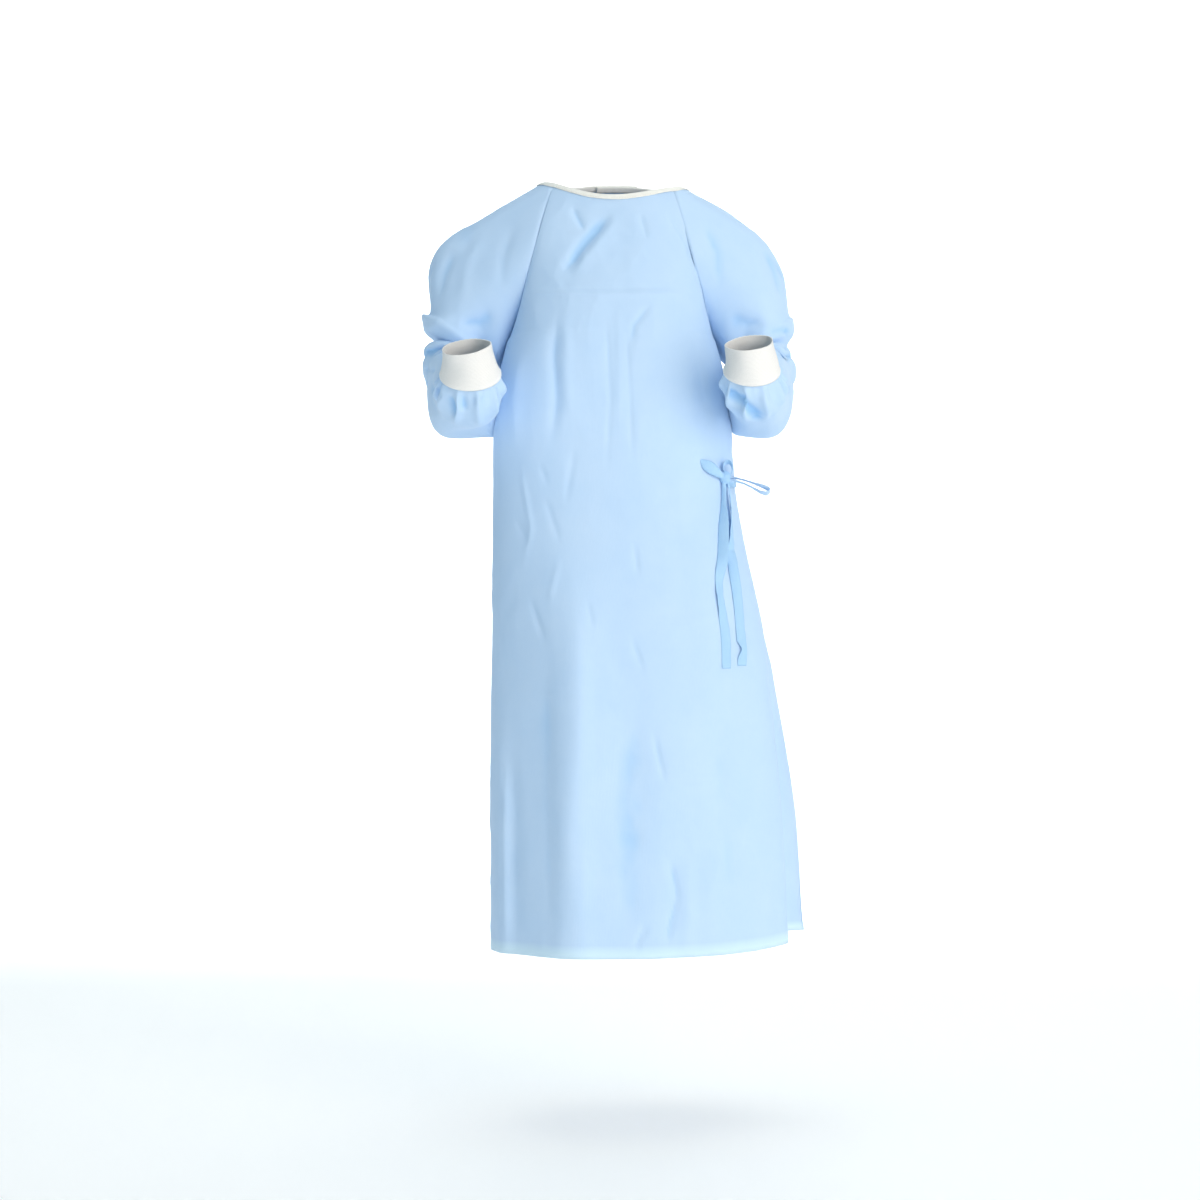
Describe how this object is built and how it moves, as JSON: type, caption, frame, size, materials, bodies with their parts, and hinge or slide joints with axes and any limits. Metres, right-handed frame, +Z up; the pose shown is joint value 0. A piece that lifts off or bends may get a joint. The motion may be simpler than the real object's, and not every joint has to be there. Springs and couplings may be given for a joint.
{
  "type": "surgical gown",
  "caption": "Long-sleeved wrap-back surgical gown, filled out as worn, open at neck, hem and both knitted cuffs, with a waist belt tied at one side.",
  "frame": {"origin": "middle of the neck opening, level with the places where the shoulders carry the cloth", "axes": "+Z up, from the hem towards the neck; -Y towards the front; +X towards the wearer's left"},
  "size_m": [0.604, 0.4827, 1.1965],
  "materials": {
    "nonwoven": "matt spun-bond nonwoven, light blue",
    "knit": "white rib knit",
    "binding": "cream folded binding",
    "tape": "light blue nonwoven tape"
  },
  "bodies": {
    "root": {"front_panel": "nonwoven", "back_panel_left": "nonwoven", "back_panel_right": "nonwoven", "sleeve_left": "nonwoven", "sleeve_right": "nonwoven", "cuff_left": "knit", "cuff_right": "knit", "neck_binding": "binding", "neck_tab": "nonwoven", "belt_side": "tape", "tie_front": "tape", "tie_knot": "tape", "tie_bow": "tape", "tie_loop": "tape", "tie_end_front": "tape", "tie_end_side": "tape"}
  },
  "joints": []
}
